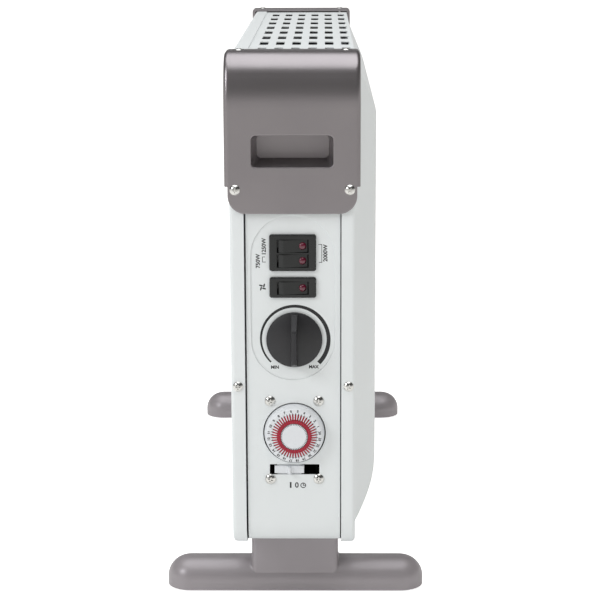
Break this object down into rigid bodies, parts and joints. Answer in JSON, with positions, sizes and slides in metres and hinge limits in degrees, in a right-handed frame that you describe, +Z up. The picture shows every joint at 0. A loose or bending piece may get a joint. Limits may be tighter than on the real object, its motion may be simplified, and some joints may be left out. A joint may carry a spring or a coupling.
{
  "type": "portable convector heater",
  "caption": "Free-standing electric convector heater on two feet, with rocker switches, a thermostat knob, a day timer dial and a fan.",
  "frame": {"origin": "on the floor, at the centre of the whole heater's box", "axes": "+X along the length towards the plain end, -X towards the control end; -Y towards the bulged front; +Z up"},
  "size_m": [0.615, 0.2, 0.4211],
  "materials": {
    "casing_white": "satin powder coat",
    "galvanised": "plain galvanised sheet",
    "cap_grey": "fine moulded texture",
    "foot_grey": "fine moulded texture",
    "pad_rubber": "matte",
    "screw_nickel": "nickel plated",
    "switch_black": "satin",
    "knob_grey": "satin",
    "lens_red": "clear red, glossy",
    "timer_white": "smooth moulded",
    "timer_red": "smooth moulded",
    "inner_plastic": "moulded",
    "terminal_brass": "plain",
    "mica": "layered mica board",
    "heating_alloy": "oxidised resistance wire",
    "motor_steel": "laminated",
    "winding_copper": "enamelled copper",
    "wire_insulation": "silicone sleeve"
  },
  "bodies": {
    "casing": {"back_panel": "casing_white", "base_plate": "casing_white", "cable_gland": "switch_black", "compartment_shield": "galvanised", "control_cap_screws": "screw_nickel", "control_end_cap": "cap_grey", "control_end_panel": "casing_white", "control_foot": "foot_grey", "double_switch_housing": "switch_black", "element_brackets": "galvanised", "fan_bracket": "galvanised", "fan_motor_coil": "winding_copper", "fan_motor_core": "motor_steel", "fan_shroud": "inner_plastic", "fan_switch_housing": "switch_black", "far_cap_screws": "screw_nickel", "far_end_cap": "cap_grey", "far_end_panel": "casing_white", "far_foot": "foot_grey", "flange_screws": "screw_nickel", "foot_pads": "pad_rubber", "foot_screws": "screw_nickel", "front_panel": "casing_white", "front_reflector": "galvanised", "heating_wire_1250w": "heating_alloy", "heating_wire_750w": "heating_alloy", "internal_wiring": "wire_insulation", "mica_strips": "mica", "rear_reflector": "galvanised", "switch_terminals": "terminal_brass", "terminal_block": "inner_plastic", "thermal_cutout": "galvanised", "thermostat_body": "inner_plastic", "thermostat_screws": "screw_nickel", "timer_case": "switch_black", "timer_hub_cap": "timer_white", "timer_motor": "galvanised", "timer_screws": "screw_nickel", "top_grille": "casing_white"},
    "rocker_750w": {"rocker_750w": "switch_black", "rocker_lens_750w": "lens_red"},
    "rocker_1250w": {"rocker_1250w": "switch_black", "rocker_lens_1250w": "lens_red"},
    "rocker_fan": {"rocker_fan": "switch_black", "rocker_lens_fan": "lens_red"},
    "thermostat_spindle": {"thermostat_knob": "knob_grey", "thermostat_shaft": "screw_nickel"},
    "timer_dial": {"timer_dial": "timer_white"},
    "timer_tappets_a": {"timer_tappets_a": "timer_red"},
    "timer_tappets_b": {"timer_tappets_b": "timer_red"},
    "timer_tappets_c": {"timer_tappets_c": "timer_red"},
    "timer_tappets_d": {"timer_tappets_d": "timer_red"},
    "timer_pinion": {"timer_pinion": "timer_white"},
    "timer_mode_slider": {"timer_mode_slider": "timer_white"},
    "fan_spindle": {"fan_impeller": "inner_plastic", "fan_shaft": "motor_steel", "fan_rotor": "motor_steel"}
  },
  "joints": [
    {"name": "rocker_750w_rock", "type": "hinge", "parent": "casing", "child": "rocker_750w", "pos_m": [-0.2864, 0, 0.26935], "axis": [0, 0, 1], "range_deg": [-14, 0]},
    {"name": "rocker_1250w_rock", "type": "hinge", "parent": "casing", "child": "rocker_1250w", "pos_m": [-0.2864, 0, 0.28025], "axis": [0, 0, 1], "range_deg": [-14, 0]},
    {"name": "rocker_fan_rock", "type": "hinge", "parent": "casing", "child": "rocker_fan", "pos_m": [-0.2864, 0, 0.2492], "axis": [0, 0, 1], "range_deg": [-14, 0]},
    {"name": "thermostat_turn", "type": "hinge", "parent": "casing", "child": "thermostat_spindle", "pos_m": [-0.289, -0.0009, 0.2103], "axis": [1, 0, 0], "range_deg": [-135, 135]},
    {"name": "timer_dial_turn", "type": "hinge", "parent": "casing", "child": "timer_dial", "pos_m": [-0.2898, -0.0007, 0.1388], "axis": [1, 0, 0], "continuous": true},
    {"name": "timer_pinion_turn", "type": "hinge", "parent": "casing", "child": "timer_pinion", "pos_m": [-0.2848, -0.0007, 0.1628], "axis": [1, 0, 0], "continuous": true},
    {"name": "timer_mode_slide", "type": "slide", "parent": "casing", "child": "timer_mode_slider", "axis": [0, -1, 0], "range_m": [0, 0.0091]},
    {"name": "fan_spin", "type": "hinge", "parent": "casing", "child": "fan_spindle", "pos_m": [0.0052, 0, 0.061], "axis": [0, 0, 1], "continuous": true},
    {"name": "tappets_a_push", "type": "slide", "parent": "timer_dial", "child": "timer_tappets_a", "axis": [1, 0, 0], "range_m": [0, 0.0014]},
    {"name": "tappets_b_push", "type": "slide", "parent": "timer_dial", "child": "timer_tappets_b", "axis": [1, 0, 0], "range_m": [0, 0.0014]},
    {"name": "tappets_c_push", "type": "slide", "parent": "timer_dial", "child": "timer_tappets_c", "axis": [1, 0, 0], "range_m": [0, 0.0014]},
    {"name": "tappets_d_push", "type": "slide", "parent": "timer_dial", "child": "timer_tappets_d", "axis": [1, 0, 0], "range_m": [0, 0.0014]}
  ],
  "couplings": [
    {"joint": "timer_pinion_turn", "follows": "timer_dial_turn", "ratio": -5}
  ]
}
